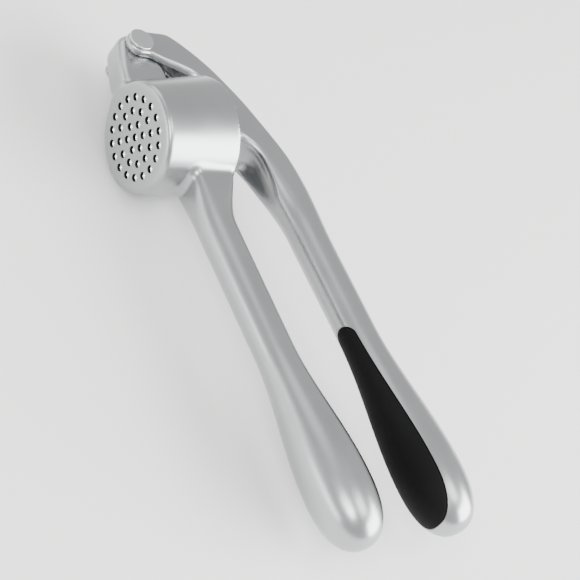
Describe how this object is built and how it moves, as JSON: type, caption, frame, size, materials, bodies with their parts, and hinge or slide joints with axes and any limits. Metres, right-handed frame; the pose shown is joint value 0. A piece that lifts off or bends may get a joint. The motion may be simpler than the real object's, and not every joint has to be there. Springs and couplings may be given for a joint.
{
  "type": "garlic press",
  "caption": "Hand garlic press: drilled round hopper on one handle, forked upper handle hinged beside it, self-aligning plunger, soft inset grips.",
  "frame": {"origin": "centre of the outer face of the drilled plate, on the middle plane of the press", "axes": "+X from the hopper towards the ends of the handles, +Y up the hopper's bore from the drilled face to the mouth, +Z along the hinge pin; the press lies on its side on a surface below it"},
  "size_m": [0.1895, 0.0643, 0.0394],
  "materials": {
    "satin_casting": "satin, bead-blasted and plated die casting",
    "pin_steel": "satin turned steel",
    "washer_plastic": "smooth natural acetal",
    "grip_rubber": "matte soft-touch moulded rubber"
  },
  "bodies": {
    "lower": {"hopper_handle": "satin_casting", "lower_grip_pad": "grip_rubber"},
    "upper": {"upper_handle": "satin_casting", "hinge_pin": "pin_steel", "hinge_pin_cap": "pin_steel", "front_washer": "washer_plastic", "back_washer": "washer_plastic", "plunger_pin": "pin_steel", "upper_grip_pad": "grip_rubber"},
    "plunger": {"plunger": "satin_casting"}
  },
  "joints": [
    {"name": "handle_hinge", "type": "hinge", "parent": "lower", "child": "upper", "pos_m": [-0.0336, 0.0124, 0], "axis": [0, 0, 1], "range_deg": [0, 110]},
    {"name": "plunger_swing", "type": "hinge", "parent": "upper", "child": "plunger", "pos_m": [-0.0004, 0.018, 0], "axis": [0, 0, 1], "range_deg": [0, 33]}
  ],
  "couplings": [
    {"joint": "plunger_swing", "follows": "handle_hinge", "ratio": 0.3}
  ]
}
